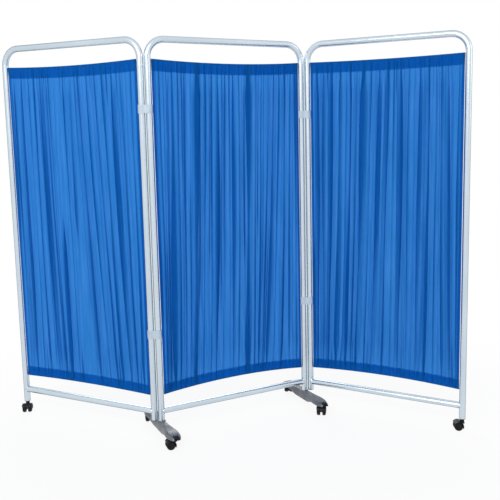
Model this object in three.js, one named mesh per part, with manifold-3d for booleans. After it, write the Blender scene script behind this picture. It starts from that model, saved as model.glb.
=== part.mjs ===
// Ward privacy screen on wheels.
// Three hooped tube panels stand in a zigzag. Each carries a gathered curtain on two sprung wires.
// Two double snap clips join each pair of panels, and the screen rolls on six swivel casters.
// Millimetres, +Z up, the floor at zero. The middle panel runs along X and its front faces -Y.

import * as THREE from 'three';
import { mergeVertices } from 'three/addons/utils/BufferGeometryUtils.js';
import Module from 'manifold-3d';

const wasm = await Module();
wasm.setup();

// Frame
const screenHeight = 1748;
const tubeRadius = 14;
const tubeWall = 1.5;
const panelPitch = 744;
const bendRadius = 76;
const railHeight = 112;
const leftFoldDegrees = 52.8;
const rightFoldDegrees = 55.9;

// Joint between two panels
const uprightGap = 3;
const clipWall = 3;
const clipHeight = 36;
const clipMouth = 21;
const clipDrops = { left: 304, right: 333 };
const clipRises = { left: 353, right: 410 };

// Curtain and the sprung wires that carry it
const curtainDrop = 92;
const curtainRise = 69;
const curtainEdgeGap = 6;
const headerDepth = 52;
const hemDepth = 48;
const pocketThickness = 8.4;
const clothThickness = 2.6;
const foldDepth = 11;
const gatherHeight = 70;
const foldCount = 12;
const columnsPerFold = 4;
const edgeFolds = 2;
const foldSwellShare = 0.25;
const foldSwellTurn = 1.7;
const foldStrayShare = 0.22;
const foldStrayTurn = 2.4;
const looseRowShares = [0.36, 0.66];
const curtainDroop = { left: 10, middle: 14, right: 5 };
const curtainLift = { left: 8, middle: 22, right: 15 };
const curtainSlant = { left: 34, middle: 6, right: -18 };
const wireRadius = 2.5;
const wirePocketGap = 0.5;
const wireSetback = 5.4;
const wirePinRadius = 1.4;
const wirePinReach = 3;

// Foot
const footHalfLength = 190;
const footHalfWidth = 31;
const footWaistHalfWidth = 21;
const footTop = 66;
const footSkirt = 34;
const footEndSkirt = 44.5;
const footWall = 3.2;
const footFlareRun = 100;
const footNoseLength = 50;
const footNoseBlunt = 8;
const footDropLength = 70;
const footDropBlunt = 4;
const footArchBack = 75;
const footArchRun = 23;
const collarRadius = 17;
const collarTop = 68;
const spigotHeight = 38;
const socketScrewHeightShare = 0.66;
const socketScrewRadius = 2.5;
const socketScrewHeadRadius = 4;
const socketScrewHead = 2;
const socketScrewDepth = 8;
const socketScrewDegrees = 45;

// Brake pedal in the front end of each foot
const pedalHalfWidth = 11.2;
const pedalInset = 20;
const pedalNose = 9;
const pedalSlotGap = 1.2;
const pedalBottom = 48;
const pedalTop = 58.5;
const pedalToe = 3.5;
const pedalCrownShare = 0.34;
const pedalTipShare = 0.2;
const pedalPivotOffset = 4;
const pedalPivotHeight = 53;
const pedalStudRadius = 1.6;
const pedalStudLength = 3.5;

// Caster
const casterInset = 32;
const casterHeight = 50.5;
const casterTrail = 18;
const wheelRadius = 20;
const wheelWidth = 16.6;
const wheelChamfer = 1.2;
const wheelCapRise = 2.4;
const finHalfWidth = 5;
const wheelFinGap = 0.6;
const axleRadius = 2.9;
const axleInset = 4;
const hoodGap = 1;
const hoodWall = 2;
const hoodOverhang = 0.4;
const hoodStartDegrees = 32;
const hoodEndDegrees = 205;
const stemRadius = 5;
const stemBossRadius = 9;
const stemBossHeight = 9;
const stemFlange = 1.9;
const stemPinRadius = 3;
const stemPinGap = 0.1;
const stemPinLength = 18;
const footStemLength = 8;
const wingStemLength = 34;
const stemBossWall = 5.5;

// Inserts in the tube ends
const insertFlange = 2;
const insertLength = 30;
const plugClearance = 2;

// Gaps and overruns
const seatGap = 0.3;
const cutOverrun = 5;
const weldTolerance = 0.001;

// Facet counts
const tubeSides = 16;
const bendSteps = 5;
const roundSides = 16;
const smallSides = 10;
const wheelSides = 16;
const footSteps = 18;
const hoodSteps = 8;
const wireSides = 6;
const wireSteps = 8;

// Directions that the casters trail in, in degrees from +X, as the photograph shows them
const trailDegrees = {
  left_wing: 250,
  right_wing: 152,
  left_front: 175,
  left_rear: 80,
  right_front: 235,
  right_rear: 60,
};

// Sizes that follow from the ones above
const tubeBore = tubeRadius - tubeWall;
const halfPitch = panelPitch / 2;
const barHeight = screenHeight - tubeRadius;
const uprightSpacing = 2 * tubeRadius + uprightGap;
const clipRadius = tubeRadius + seatGap + clipWall;
const axleHeight = wheelRadius * Math.cos(Math.PI / wheelSides);
const outerUprightEnd = casterHeight + insertFlange + seatGap;
const middleUprightEnd = collarTop + seatGap;
const innerUprightEnd = collarTop + plugClearance + insertFlange + seatGap;
const screwSpan = railHeight - tubeRadius - middleUprightEnd;
const socketScrewHeight = middleUprightEnd + socketScrewHeightShare * screwSpan;
const insertRadius = tubeBore - seatGap;
const casterOffset = footHalfLength - casterInset;
const pedalBack = footHalfLength - pedalInset;
const pedalFront = footHalfLength + pedalNose;
const curtainTop = screenHeight - curtainDrop;
const curtainBottom = railHeight + curtainRise;
const curtainHalfWidth = halfPitch - tubeRadius - curtainEdgeGap;
const wireTop = curtainTop - wireSetback;
const wireBottom = curtainBottom + wireSetback;
const wireBoreRadius = wireRadius + wirePocketGap;

// Finishes
const finishes = {
  frame: { color: 0xd3d6da, roughness: 0.32, metalness: 0.35 },
  cloth: { color: 0x2f74c4, roughness: 0.85, metalness: 0 },
  clip: { color: 0xdfe2e5, roughness: 0.45, metalness: 0 },
  foot: { color: 0xa4a9b0, roughness: 0.42, metalness: 0.6 },
  black: { color: 0x17181b, roughness: 0.5, metalness: 0 },
  tread: { color: 0x26272b, roughness: 0.7, metalness: 0 },
  steel: { color: 0xb9bcc0, roughness: 0.3, metalness: 0.9 },
};

// Helpers

function toSolid(geometry) {
  const bare = geometry.clone();
  bare.deleteAttribute('normal');
  bare.deleteAttribute('uv');
  const welded = mergeVertices(bare, weldTolerance);
  const mesh = new wasm.Mesh({
    numProp: 3,
    vertProperties: Float32Array.from(welded.attributes.position.array),
    triVerts: Uint32Array.from(welded.index.array),
  });
  return new wasm.Manifold(mesh);
}

function toGeometry(solid) {
  const mesh = solid.getMesh();
  const geometry = new THREE.BufferGeometry();
  geometry.setAttribute('position', new THREE.BufferAttribute(mesh.vertProperties, 3));
  geometry.setIndex(new THREE.BufferAttribute(mesh.triVerts, 1));
  geometry.computeVertexNormals();
  return geometry;
}

function piece(name, finish, solid) {
  const mesh = new THREE.Mesh(toGeometry(solid), new THREE.MeshStandardMaterial(finishes[finish]));
  mesh.name = name;
  return mesh;
}

// The radius of a bore whose flats, and not its corners, lie at the radius that is asked for.
function around(radius, sides = roundSides) {
  return radius / Math.cos(Math.PI / sides);
}

function addAll(group, meshes) {
  for (const mesh of meshes) {
    group.add(mesh);
  }
  return group;
}

function ring(radius, sides, turn = 0) {
  const points = [];
  for (let i = 0; i < sides; i += 1) {
    const angle = turn + (2 * Math.PI * i) / sides;
    points.push(new THREE.Vector2(radius * Math.cos(angle), radius * Math.sin(angle)));
  }
  return points;
}

// An upright round bar from one height to another.
function pillar(radius, low, high, x = 0, y = 0, sides = roundSides) {
  const geometry = new THREE.CylinderGeometry(radius, radius, high - low, sides);
  geometry.rotateX(Math.PI / 2);
  geometry.translate(x, y, (low + high) / 2);
  return toSolid(geometry);
}

// A round bar lying along X or Y, centred on a point.
function bar(radius, length, axis, x, y, z, sides = smallSides) {
  const geometry = new THREE.CylinderGeometry(radius, radius, length, sides);
  if (axis === 'x') {
    geometry.rotateZ(Math.PI / 2);
  }
  geometry.translate(x, y, z);
  return toSolid(geometry);
}

function block(lowX, highX, lowY, highY, lowZ, highZ) {
  const geometry = new THREE.BoxGeometry(highX - lowX, highY - lowY, highZ - lowZ);
  geometry.translate((lowX + highX) / 2, (lowY + highY) / 2, (lowZ + highZ) / 2);
  return toSolid(geometry);
}

// A profile in X and Z, carried equally far to both sides of the XZ plane.
function sidePlate(points, halfWidth) {
  const geometry = new THREE.ExtrudeGeometry(new THREE.Shape(points), {
    depth: 2 * halfWidth,
    bevelEnabled: false,
  });
  geometry.translate(0, 0, -halfWidth);
  geometry.rotateX(Math.PI / 2);
  return toSolid(geometry);
}

function smoothStep(from, to, value) {
  const share = Math.min(Math.max((value - from) / (to - from), 0), 1);
  return share * share * (3 - 2 * share);
}

// Frame

// The centre line of a hooped tube: up one side, round a bend, along the bar, and down again.
// It has one station at each end of a straight and bendSteps along each bend.
class HoopPath extends THREE.Curve {
  constructor(leftEnd, rightEnd) {
    super();
    this.stations = [];
    this.addStation(-halfPitch, leftEnd, 0);
    this.addBend(-1);
    this.addBend(1);
    this.addStation(halfPitch, rightEnd, Math.PI);
  }

  addStation(x, z, heading) {
    this.stations.push({
      point: new THREE.Vector3(x, 0, z),
      tangent: new THREE.Vector3(Math.sin(heading), 0, Math.cos(heading)),
    });
  }

  addBend(side) {
    const centreX = side * (halfPitch - bendRadius);
    const centreZ = barHeight - bendRadius;
    for (let i = 0; i <= bendSteps; i += 1) {
      const heading = ((side + 1) * Math.PI) / 4 + (i / bendSteps) * (Math.PI / 2);
      const x = centreX - bendRadius * Math.cos(heading);
      const z = centreZ + bendRadius * Math.sin(heading);
      this.addStation(x, z, heading);
    }
  }

  get steps() {
    return this.stations.length - 1;
  }

  getPointAt(share) {
    return this.stations[Math.round(share * this.steps)].point.clone();
  }

  getTangentAt(share) {
    return this.stations[Math.round(share * this.steps)].tangent.clone();
  }
}

function hoop(leftEnd, rightEnd) {
  const path = new HoopPath(leftEnd, rightEnd);
  const section = new THREE.Shape(ring(tubeRadius, tubeSides));
  section.holes.push(new THREE.Path(ring(tubeBore, tubeSides)));
  let solid = toSolid(new THREE.ExtrudeGeometry(section, { steps: path.steps, extrudePath: path }));
  for (const side of [-1, 1]) {
    for (const height of [wireTop, wireBottom]) {
      const middle = side * (halfPitch - tubeRadius);
      const hole = bar(wirePinRadius + seatGap, 2 * (tubeWall + wireRadius), 'x', middle, 0, height);
      solid = solid.subtract(hole);
    }
  }
  return solid;
}

// The bottom rail is a tube whose ends are cut to the uprights that they are welded to.
function rail() {
  const length = panelPitch;
  let solid = bar(tubeRadius, length, 'x', 0, 0, railHeight, tubeSides);
  solid = solid.subtract(bar(tubeBore, length + cutOverrun, 'x', 0, 0, railHeight, tubeSides));
  const low = railHeight - tubeRadius - cutOverrun;
  const high = railHeight + tubeRadius + cutOverrun;
  for (const side of [-1, 1]) {
    solid = solid.subtract(pillar(around(tubeRadius + seatGap), low, high, side * halfPitch, 0));
  }
  return solid;
}

// Curtain and wires

// Height of a wire above or below its ends, at a place across the panel.
function bow(x, depth) {
  const share = x / halfPitch;
  return depth * (1 - share * share);
}

function wireCurve(height, depth, halfSpan) {
  const points = [];
  for (let i = 0; i <= wireSteps; i += 1) {
    const x = halfSpan * ((2 * i) / wireSteps - 1);
    points.push(new THREE.Vector3(x, 0, height + bow(x, depth)));
  }
  return points;
}

// A rod along the wire's bow. The path's stations are the curve's own points.
class BowPath extends THREE.Curve {
  constructor(points) {
    super();
    this.points = points;
  }

  getPointAt(share) {
    return this.points[Math.round(share * (this.points.length - 1))].clone();
  }

  getTangentAt() {
    return new THREE.Vector3(1, 0, 0);
  }
}

function bowedRod(radius, height, depth, halfSpan) {
  const path = new BowPath(wireCurve(height, depth, halfSpan));
  const section = new THREE.Shape(ring(radius, wireSides));
  return toSolid(new THREE.ExtrudeGeometry(section, { steps: wireSteps, extrudePath: path }));
}

// A sprung wire with a pin at each end, which hooks into a hole in the upright.
function wire(height, depth) {
  const halfSpan = halfPitch - tubeRadius - seatGap;
  let solid = bowedRod(wireRadius, height, depth, halfSpan);
  const pinLength = tubeWall + wirePinReach + wireRadius;
  for (const side of [-1, 1]) {
    const middle = side * (halfSpan - wireRadius + pinLength / 2);
    solid = solid.add(bar(wirePinRadius, pinLength, 'x', middle, 0, height, wireSides));
  }
  return solid;
}

// How far a column of the curtain is let out of its flat edge: none at the edge, all of it edgeFolds away.
function loosenessAt(share) {
  const foldsFromEdge = Math.min(share, 1 - share) * foldCount;
  return Math.min(1, foldsFromEdge / edgeFolds);
}

// A gathered curtain: flat pockets at the top and the bottom, and loose folds between them.
function curtain(panel) {
  const columns = columnsPerFold * foldCount;
  const height = curtainTop - curtainBottom;
  const rows = [
    0,
    hemDepth,
    hemDepth + gatherHeight,
    ...looseRowShares.map((share) => height * share),
    height - headerDepth - gatherHeight,
    height - headerDepth,
    height,
  ];
  const steps = rows.length - 1;
  const outline = [];
  for (let i = 0; i <= columns; i += 1) {
    outline.push(new THREE.Vector2(i, 0));
  }
  for (let i = columns; i >= 0; i -= 1) {
    outline.push(new THREE.Vector2(i, 1));
  }
  const geometry = new THREE.ExtrudeGeometry(new THREE.Shape(outline), {
    depth: steps,
    steps,
    bevelEnabled: false,
  });
  const place = geometry.attributes.position;
  for (let i = 0; i < place.count; i += 1) {
    const column = Math.round(place.getX(i));
    const side = Math.round(place.getY(i)) === 0 ? -1 : 1;
    const row = Math.round(place.getZ(i));
    const inPocket = row < 2 || row > steps - 2;
    const rise = rows[row] / height;
    const looseness = inPocket ? 0 : loosenessAt(column / columns);
    const inside = column > 0 && column < columns;
    const stray = inside ? foldStrayShare * Math.sin(foldStrayTurn * column) : 0;
    const slant = curtainSlant[panel] * (0.5 - rise) * looseness;
    const x = curtainHalfWidth * ((2 * (column + stray)) / columns - 1) + slant;
    const swell = 1 - foldSwellShare + foldSwellShare * Math.sin(foldSwellTurn * column + row);
    const turn = (2 * Math.PI * column) / columnsPerFold;
    const wave = foldDepth * looseness * swell * Math.sin(turn);
    const thickness = inPocket ? pocketThickness : clothThickness;
    const lift = bow(x, curtainLift[panel]) * (1 - rise);
    const droop = bow(x, curtainDroop[panel]) * rise;
    place.setXYZ(i, x, wave + (side * thickness) / 2, curtainBottom + rows[row] + lift - droop);
  }
  return toSolid(geometry)
    .subtract(bowedRod(wireBoreRadius, wireTop, -curtainDroop[panel], halfPitch))
    .subtract(bowedRod(wireBoreRadius, wireBottom, curtainLift[panel], halfPitch));
}

// Hinge clip

// A double snap clip: two C-shaped jaws, one round each upright, open towards the back.
// It runs along X from the upright at zero to its neighbour at -uprightSpacing.
function clip(height) {
  const low = height - clipHeight / 2;
  const high = height + clipHeight / 2;
  const centres = [0, -uprightSpacing];
  let solid = block(-uprightSpacing, 0, -clipRadius, clipRadius / 2, low, high);
  for (const x of centres) {
    solid = solid.add(pillar(clipRadius, low, high, x, 0));
  }
  for (const x of centres) {
    const bore = around(tubeRadius + seatGap);
    solid = solid.subtract(pillar(bore, low - cutOverrun, high + cutOverrun, x, 0));
    const mouth = block(
      x - clipMouth / 2,
      x + clipMouth / 2,
      0,
      clipRadius + cutOverrun,
      low - cutOverrun,
      high + cutOverrun,
    );
    solid = solid.subtract(mouth);
  }
  return solid;
}

// Casters

// One wheel of a twin caster. Its inner face is at zero and it stands out along Y.
function wheel(side) {
  const depth = wheelWidth - axleInset + seatGap;
  const bore = around(axleRadius + seatGap, wheelSides);
  const profile = [
    new THREE.Vector2(0, depth),
    new THREE.Vector2(bore, depth),
    new THREE.Vector2(bore, 0),
    new THREE.Vector2(wheelRadius - wheelChamfer, 0),
    new THREE.Vector2(wheelRadius, wheelChamfer),
    new THREE.Vector2(wheelRadius, wheelWidth - 2 * wheelCapRise),
    new THREE.Vector2(wheelRadius - 2 * wheelCapRise, wheelWidth - wheelCapRise / 2),
    new THREE.Vector2(0, wheelWidth),
  ];
  const geometry = new THREE.LatheGeometry(profile, wheelSides);
  geometry.rotateY(Math.PI / wheelSides);
  if (side < 0) {
    geometry.rotateZ(Math.PI);
  }
  geometry.translate(casterTrail, side * (finHalfWidth + wheelFinGap), axleHeight);
  return toSolid(geometry);
}

function hoodArc(radius, start, end, steps) {
  const points = [];
  for (let i = 0; i <= steps; i += 1) {
    const angle = THREE.MathUtils.degToRad(start + ((end - start) * i) / steps);
    const x = casterTrail + radius * Math.cos(angle);
    points.push(new THREE.Vector2(x, axleHeight + radius * Math.sin(angle)));
  }
  return points;
}

// The hood: a fender over both wheels, the fin between them, the swivel boss and the axle.
function hood() {
  const inner = wheelRadius + hoodGap;
  const outer = inner + hoodWall;
  const halfWidth = finHalfWidth + wheelFinGap + wheelWidth + hoodOverhang;
  const top = hoodArc(outer, hoodStartDegrees, hoodEndDegrees, hoodSteps);
  const under = hoodArc(inner, hoodEndDegrees, hoodStartDegrees, hoodSteps);
  const fender = sidePlate([...top, ...under], halfWidth);
  const hub = axleRadius + hoodWall;
  const finOutline = [
    ...hoodArc(inner + hoodWall / 2, hoodStartDegrees, hoodEndDegrees, hoodSteps),
    new THREE.Vector2(casterTrail - hub, axleHeight - hub),
    new THREE.Vector2(casterTrail + hub, axleHeight - hub),
  ];
  const fin = sidePlate(finOutline, finHalfWidth);
  const bossTop = casterHeight - stemFlange - 2 * seatGap;
  const boreBottom = bossTop - stemPinLength - seatGap;
  const neckBottom = boreBottom - hoodWall;
  const neckReach = Math.sqrt(stemBossRadius ** 2 - finHalfWidth ** 2);
  const neck = block(
    -neckReach,
    neckReach,
    -finHalfWidth,
    finHalfWidth,
    neckBottom,
    bossTop,
  );
  const boss = pillar(stemBossRadius, bossTop - stemBossHeight, bossTop, 0, 0, smallSides);
  const axleLength = 2 * (finHalfWidth + wheelFinGap + wheelWidth - axleInset);
  const axle = bar(axleRadius, axleLength, 'y', casterTrail, 0, axleHeight);
  const boreRadius = around(stemPinRadius + stemPinGap, smallSides);
  const bore = pillar(boreRadius, boreBottom, casterHeight, 0, 0, smallSides);
  return fender.add(fin).add(neck).add(boss).add(axle).subtract(bore);
}

// The stem: a pin in the hood's boss, a flange and the part that is fixed in the foot or the tube.
function stem(length) {
  const flangeTop = casterHeight - seatGap;
  const flangeBottom = flangeTop - stemFlange;
  const pinBottom = flangeBottom - seatGap - stemPinLength;
  return pillar(stemPinRadius, pinBottom, flangeBottom + stemFlange / 2, 0, 0, smallSides)
    .add(pillar(stemBossRadius, flangeBottom, flangeTop, 0, 0, smallSides))
    .add(pillar(stemRadius, flangeTop - stemFlange / 2, casterHeight + length, 0, 0, smallSides));
}

function caster(name, stemLength, turnDegrees) {
  const group = new THREE.Group();
  const swivel = new THREE.Group();
  swivel.rotation.z = THREE.MathUtils.degToRad(turnDegrees);
  addAll(swivel, [
    piece(`${name}_caster_hood`, 'black', hood()),
    piece(`${name}_caster_wheel_a`, 'tread', wheel(-1)),
    piece(`${name}_caster_wheel_b`, 'tread', wheel(1)),
  ]);
  group.add(piece(`${name}_caster_stem`, 'steel', stem(stemLength)));
  group.add(swivel);
  return group;
}

// Foot

function footWidthAt(y) {
  const reach = Math.abs(y);
  const noseStart = footHalfLength - footNoseLength;
  const flare = smoothStep(noseStart - footFlareRun, noseStart, reach);
  const width = footWaistHalfWidth + (footHalfWidth - footWaistHalfWidth) * flare;
  const beyond = Math.max(reach - noseStart, 0) / (footNoseLength + footNoseBlunt);
  return width * Math.sqrt(1 - beyond * beyond);
}

function footSkirtAt(y) {
  const archEnd = footHalfLength - footArchBack;
  const rise = smoothStep(archEnd - footArchRun, archEnd, Math.abs(y));
  return footSkirt + (footEndSkirt - footSkirt) * rise;
}

function footTopAt(y) {
  const dropStart = footHalfLength - footDropLength;
  const beyond = Math.max(Math.abs(y) - dropStart, 0) / (footDropLength + footDropBlunt);
  return footEndSkirt + (footTop - footEndSkirt) * Math.sqrt(1 - beyond * beyond);
}

// A lofted body along Y. Each section is a low hat with sloping sides, inset by a wall.
function footBody(wall, halfLength, dip) {
  const sectionShares = [
    [-1, 0],
    [1, 0],
    [0.96, 0.42],
    [0.66, 0.9],
    [0.5, 1],
    [-0.5, 1],
    [-0.66, 0.9],
    [-0.96, 0.42],
  ];
  const outline = sectionShares.map(([x, z]) => new THREE.Vector2(x, z));
  const geometry = new THREE.ExtrudeGeometry(new THREE.Shape(outline), {
    depth: 2,
    steps: footSteps,
    bevelEnabled: false,
  });
  const place = geometry.attributes.position;
  for (let i = 0; i < place.count; i += 1) {
    const y = halfLength * (place.getZ(i) - 1);
    const width = footWidthAt(y) - wall;
    const low = footSkirtAt(y) - dip;
    const high = footTopAt(y) - wall;
    place.setXYZ(i, width * place.getX(i), y, low + (high - low) * place.getY(i));
  }
  return toSolid(flipFaces(geometry));
}

// Turns the faces over, because putting Z in place of Y mirrors a shape.
function flipFaces(geometry) {
  const flat = geometry.index ? geometry.toNonIndexed() : geometry;
  const place = flat.attributes.position;
  const hold = new THREE.Vector3();
  const other = new THREE.Vector3();
  for (let i = 0; i < place.count; i += 3) {
    hold.fromBufferAttribute(place, i);
    other.fromBufferAttribute(place, i + 1);
    place.setXYZ(i, other.x, other.y, other.z);
    place.setXYZ(i + 1, hold.x, hold.y, hold.z);
  }
  return flat;
}

// Turns the socket screw, or its hole, round the upright to where the screw goes in.
function turnToScrew(solid) {
  const geometry = toGeometry(solid);
  geometry.rotateZ(THREE.MathUtils.degToRad(socketScrewDegrees));
  return toSolid(geometry);
}

// The screw that holds an upright on its spigot, lying along X.
function socketScrew() {
  const start = tubeBore - socketScrewDepth;
  const end = tubeRadius + seatGap;
  const middle = (start + end) / 2;
  const headMiddle = end + socketScrewHead / 2;
  const shank = bar(socketScrewRadius, end - start, 'x', middle, 0, socketScrewHeight);
  const head = bar(socketScrewHeadRadius, socketScrewHead, 'x', headMiddle, 0, socketScrewHeight);
  return shank.add(head);
}

function socketScrewHole() {
  const start = tubeBore - socketScrewDepth - seatGap;
  const end = tubeRadius + cutOverrun;
  const middle = (start + end) / 2;
  const radius = socketScrewRadius + seatGap;
  return bar(radius, end - start, 'x', middle, 0, socketScrewHeight);
}

function foot() {
  const hollowEnd = casterOffset + stemBossRadius + 2 * seatGap;
  let solid = footBody(0, footHalfLength, 0);
  solid = solid.subtract(footBody(footWall, hollowEnd, cutOverrun));
  for (const side of [-1, 1]) {
    const roof = footTopAt(casterOffset) - footWall / 2;
    const y = side * casterOffset;
    const boss = pillar(stemRadius + stemBossWall, casterHeight, roof, 0, y, smallSides);
    const boreTop = casterHeight + footStemLength + seatGap;
    const radius = around(stemRadius + seatGap, smallSides);
    const bore = pillar(radius, footSkirt, boreTop, 0, y, smallSides);
    solid = solid.add(boss).subtract(bore);
  }
  const collar = pillar(collarRadius, footSkirt + footWall, collarTop, 0, 0);
  const spigot = pillar(insertRadius, collarTop - footWall, collarTop + spigotHeight, 0, 0);
  solid = solid.add(collar).add(spigot).subtract(turnToScrew(socketScrewHole()));
  const slotHalf = pedalHalfWidth + seatGap;
  const slotBack = pedalBack - pedalSlotGap;
  const slot = block(-slotHalf, slotHalf, -pedalFront, -slotBack, footSkirt, collarTop);
  const pivot = -(pedalBack + pedalPivotOffset);
  const studHole = pedalStudRadius + seatGap;
  const studReach = 2 * (pedalHalfWidth + pedalStudLength + seatGap);
  return solid.subtract(slot).subtract(bar(studHole, studReach, 'x', 0, pivot, pedalPivotHeight));
}

// The pedal rocks on two studs in the slot's sides. Its profile is drawn in Y and Z.
function pedal() {
  const nose = pedalFront - pedalBack;
  const outline = [
    new THREE.Vector2(-pedalBack, pedalBottom),
    new THREE.Vector2(-pedalBack, pedalTop),
    new THREE.Vector2(-pedalBack - pedalCrownShare * nose, pedalTop - pedalCrownShare * pedalToe),
    new THREE.Vector2(-pedalFront + pedalTipShare * nose, pedalBottom + 2 * pedalToe),
    new THREE.Vector2(-pedalFront, pedalBottom + pedalToe),
    new THREE.Vector2(-pedalFront, pedalBottom),
  ];
  const geometry = new THREE.ExtrudeGeometry(new THREE.Shape(outline), {
    depth: 2 * pedalHalfWidth,
    bevelEnabled: false,
  });
  geometry.translate(0, 0, -pedalHalfWidth);
  geometry.rotateY(Math.PI / 2);
  geometry.rotateX(Math.PI / 2);
  const pivot = -(pedalBack + pedalPivotOffset);
  const reach = 2 * (pedalHalfWidth + pedalStudLength);
  return toSolid(geometry).add(bar(pedalStudRadius, reach, 'x', 0, pivot, pedalPivotHeight));
}

// Inserts in the tube ends

function tubeInsert(end, bore) {
  const flangeTop = end - seatGap;
  const solid = pillar(tubeRadius, flangeTop - insertFlange, flangeTop, 0, 0)
    .add(pillar(insertRadius, flangeTop - insertFlange / 2, end + insertLength, 0, 0));
  if (!bore) {
    return solid;
  }
  const low = flangeTop - insertFlange - cutOverrun;
  const high = end + insertLength + cutOverrun;
  return solid.subtract(pillar(around(bore, smallSides), low, high, 0, 0, smallSides));
}

// Assembly

function panel(name, hoopSolid) {
  const group = new THREE.Group();
  return addAll(group, [
    piece(`${name}_hoop`, 'frame', hoopSolid),
    piece(`${name}_bottom_rail`, 'frame', rail()),
    piece(`${name}_curtain`, 'cloth', curtain(name)),
    piece(`${name}_upper_wire`, 'steel', wire(wireTop, -curtainDroop[name])),
    piece(`${name}_lower_wire`, 'steel', wire(wireBottom, curtainLift[name])),
  ]);
}

function at(group, x, y) {
  group.position.x = x;
  group.position.y = y;
  return group;
}

function middlePanel() {
  let solid = hoop(middleUprightEnd, middleUprightEnd);
  for (const side of [-1, 1]) {
    const hole = toGeometry(turnToScrew(socketScrewHole()));
    hole.translate(side * halfPitch, 0, 0);
    solid = solid.subtract(toSolid(hole));
  }
  const group = panel('middle', solid);
  for (const [name, side] of [['left', -1], ['right', 1]]) {
    const end = new THREE.Group();
    addAll(end, [
      piece(`${name}_foot`, 'foot', foot()),
      piece(`${name}_socket_screw`, 'steel', turnToScrew(socketScrew())),
      piece(`${name}_brake_pedal`, 'black', pedal()),
    ]);
    const front = caster(`${name}_front`, footStemLength, trailDegrees[`${name}_front`]);
    const rear = caster(`${name}_rear`, footStemLength, trailDegrees[`${name}_rear`]);
    end.add(at(front, 0, -casterOffset));
    end.add(at(rear, 0, casterOffset));
    group.add(at(end, side * halfPitch, 0));
  }
  return group;
}

// A wing panel. Its inner upright is the one beside the middle panel.
function wing(name, outerSide, foldDegrees) {
  const leftEnd = outerSide < 0 ? outerUprightEnd : innerUprightEnd;
  const rightEnd = outerSide < 0 ? innerUprightEnd : outerUprightEnd;
  const group = panel(name, hoop(leftEnd, rightEnd));
  const outer = new THREE.Group();
  const socket = tubeInsert(outerUprightEnd, stemRadius + seatGap);
  outer.add(piece(`${name}_caster_socket`, 'black', socket));
  outer.add(caster(`${name}_wing`, wingStemLength, trailDegrees[`${name}_wing`] + foldDegrees));
  const inner = new THREE.Group();
  inner.add(piece(`${name}_end_plug`, 'black', tubeInsert(innerUprightEnd, 0)));
  group.add(at(outer, outerSide * halfPitch, 0));
  group.add(at(inner, -outerSide * halfPitch, 0));
  return group;
}

// One folding joint: its clips turn half of the fold, and the wing turns the other half.
function foldingSide(name, outerSide, foldDegrees) {
  const clips = new THREE.Group();
  addAll(clips, [
    piece(`${name}_upper_hinge_clip`, 'clip', clip(screenHeight - clipDrops[name])),
    piece(`${name}_lower_hinge_clip`, 'clip', clip(railHeight + clipRises[name])),
  ]);
  const half = THREE.MathUtils.degToRad(foldDegrees / 2);
  const linkX = outerSide * uprightSpacing * Math.cos(half);
  const linkY = -outerSide * uprightSpacing * Math.sin(half);
  clips.rotation.z = -half;
  const clipX = outerSide < 0 ? 0 : linkX;
  const clipY = outerSide < 0 ? 0 : linkY;
  const leaf = wing(name, outerSide, foldDegrees);
  leaf.rotation.z = -2 * half;
  const reachX = linkX + outerSide * halfPitch * Math.cos(2 * half);
  const reachY = linkY - outerSide * halfPitch * Math.sin(2 * half);
  const group = new THREE.Group();
  group.add(at(clips, clipX, clipY));
  group.add(at(leaf, reachX, reachY));
  return at(group, outerSide * halfPitch, 0);
}

function screen() {
  const group = new THREE.Group();
  group.add(middlePanel());
  group.add(foldingSide('left', -1, leftFoldDegrees));
  group.add(foldingSide('right', 1, rightFoldDegrees));
  group.updateMatrixWorld(true);
  const box = new THREE.Box3().setFromObject(group, true);
  group.position.set(-(box.min.x + box.max.x) / 2, -(box.min.y + box.max.y) / 2, 0);
  group.updateMatrixWorld(true);
  return group;
}

export default screen();
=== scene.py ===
"""A ward privacy screen on wheels: three hooped tube panels with gathered curtains.

Sizes are in millimetres until a piece is made, and every piece is made in the local frame of its
panel, foot or caster: X along the panel, -Y to its front, Z up from the floor.
"""

import math
import random

import bmesh
import bpy
import numpy as np
from mathutils import Matrix, Vector


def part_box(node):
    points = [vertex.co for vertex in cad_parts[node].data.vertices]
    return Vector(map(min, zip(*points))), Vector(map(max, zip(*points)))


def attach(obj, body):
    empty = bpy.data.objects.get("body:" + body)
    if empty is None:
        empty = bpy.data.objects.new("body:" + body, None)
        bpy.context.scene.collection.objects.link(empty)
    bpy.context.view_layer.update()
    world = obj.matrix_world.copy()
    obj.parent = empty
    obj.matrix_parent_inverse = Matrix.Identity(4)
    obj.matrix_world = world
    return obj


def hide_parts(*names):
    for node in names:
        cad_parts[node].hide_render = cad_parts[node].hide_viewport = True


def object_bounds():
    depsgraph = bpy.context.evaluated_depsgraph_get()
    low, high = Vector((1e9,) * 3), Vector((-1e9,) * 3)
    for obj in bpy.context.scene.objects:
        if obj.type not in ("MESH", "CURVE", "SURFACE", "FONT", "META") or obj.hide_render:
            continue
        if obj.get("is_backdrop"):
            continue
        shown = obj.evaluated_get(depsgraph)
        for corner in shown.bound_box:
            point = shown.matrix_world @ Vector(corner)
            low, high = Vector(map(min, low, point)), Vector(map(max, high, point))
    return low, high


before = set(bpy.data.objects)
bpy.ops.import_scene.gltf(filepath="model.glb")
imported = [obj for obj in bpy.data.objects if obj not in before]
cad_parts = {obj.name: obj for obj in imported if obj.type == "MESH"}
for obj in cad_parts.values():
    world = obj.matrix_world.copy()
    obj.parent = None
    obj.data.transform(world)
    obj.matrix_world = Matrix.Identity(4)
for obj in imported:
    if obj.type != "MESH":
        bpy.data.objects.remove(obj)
cad_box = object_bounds()

MM = 0.001

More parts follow.
